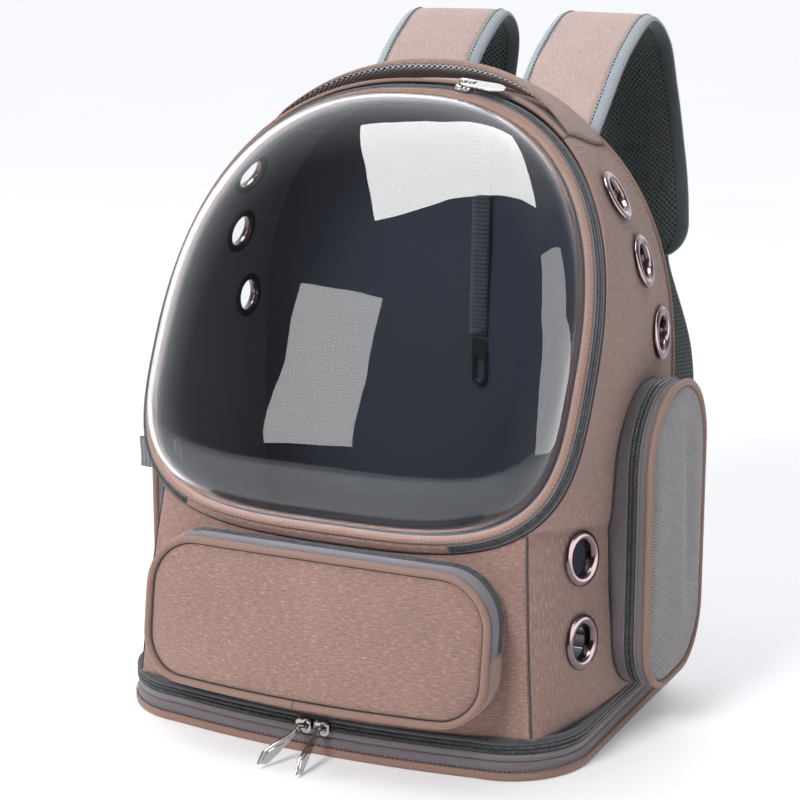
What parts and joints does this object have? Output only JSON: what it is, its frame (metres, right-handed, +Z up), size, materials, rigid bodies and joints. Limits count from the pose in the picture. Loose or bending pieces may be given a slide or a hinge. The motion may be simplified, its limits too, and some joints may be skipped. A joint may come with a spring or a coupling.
{
  "type": "pet carrier backpack",
  "caption": "Pet carrier backpack with a clear bubble door, zip pockets, round air vents, a carry handle and padded shoulder straps.",
  "frame": {"origin": "centre of the base's underside", "axes": "+Z up; the bubble's side faces -Y, the shoulder straps are on the +Y side, +X is to the right for a viewer in front"},
  "size_m": [0.398, 0.4633, 0.4775],
  "materials": {
    "brown_cloth": "heathered woven cloth",
    "grey_cloth": "ribbed woven cloth and webbing",
    "air_mesh": "padded open mesh",
    "zip_tape": "zip tape and coil",
    "clear_shell": "clear, glossy",
    "gunmetal_ring": "gunmetal plating",
    "chrome_zip_metal": "polished",
    "black_clip": "satin black"
  },
  "bodies": {
    "carrier": {"base_tray": "grey_cloth", "base_binding": "brown_cloth", "base_zip": "zip_tape", "side_panel_right": "brown_cloth", "side_panel_left": "brown_cloth", "top_panel": "brown_cloth", "front_panel": "brown_cloth", "back_panel": "air_mesh", "eyelet_right_top": "gunmetal_ring", "eyelet_left_top": "gunmetal_ring", "eyelet_right_middle": "gunmetal_ring", "eyelet_left_middle": "gunmetal_ring", "eyelet_right_low": "gunmetal_ring", "eyelet_left_low": "gunmetal_ring", "eyelet_right_front_upper": "gunmetal_ring", "eyelet_left_front_upper": "gunmetal_ring", "eyelet_right_front_lower": "gunmetal_ring", "eyelet_left_front_lower": "gunmetal_ring", "door_piping": "brown_cloth", "door_zip": "zip_tape", "door_hinge": "brown_cloth", "bubble": "clear_shell", "front_pocket": "brown_cloth", "front_pocket_piping": "brown_cloth", "front_pocket_zip": "zip_tape", "side_pocket_right_gusset": "grey_cloth", "side_pocket_left_gusset": "grey_cloth", "side_pocket_right_face": "grey_cloth", "side_pocket_left_face": "grey_cloth", "side_pocket_right_piping": "brown_cloth", "side_pocket_left_piping": "brown_cloth", "side_pocket_right_zip": "zip_tape", "side_pocket_left_zip": "zip_tape", "side_loop": "grey_cloth", "carry_handle": "brown_cloth", "shoulder_strap_right": "brown_cloth", "shoulder_strap_left": "brown_cloth", "strap_webbing_right": "grey_cloth", "strap_webbing_left": "grey_cloth", "tether_webbing": "grey_cloth", "tether_clip": "black_clip", "base_slider_right": "chrome_zip_metal", "base_slider_left": "chrome_zip_metal", "door_slider": "chrome_zip_metal"},
    "right_base_pull": {"base_pull_right": "chrome_zip_metal"},
    "left_base_pull": {"base_pull_left": "chrome_zip_metal"},
    "bubble_zip_pull": {"door_pull": "chrome_zip_metal"}
  },
  "joints": [
    {"name": "right_base_pull_swing", "type": "hinge", "parent": "carrier", "child": "right_base_pull", "pos_m": [0.0068, -0.128, 0.0205], "axis": [-1, 0, 0], "range_deg": [-60, 58]},
    {"name": "left_base_pull_swing", "type": "hinge", "parent": "carrier", "child": "left_base_pull", "pos_m": [-0.0068, -0.128, 0.0205], "axis": [-1, 0, 0], "range_deg": [-60, 58]},
    {"name": "bubble_zip_pull_swing", "type": "hinge", "parent": "carrier", "child": "bubble_zip_pull", "pos_m": [0.03357, 0.048, 0.4414], "axis": [-0.0955, -0.9625, -0.2541], "range_deg": [0, 170]}
  ]
}
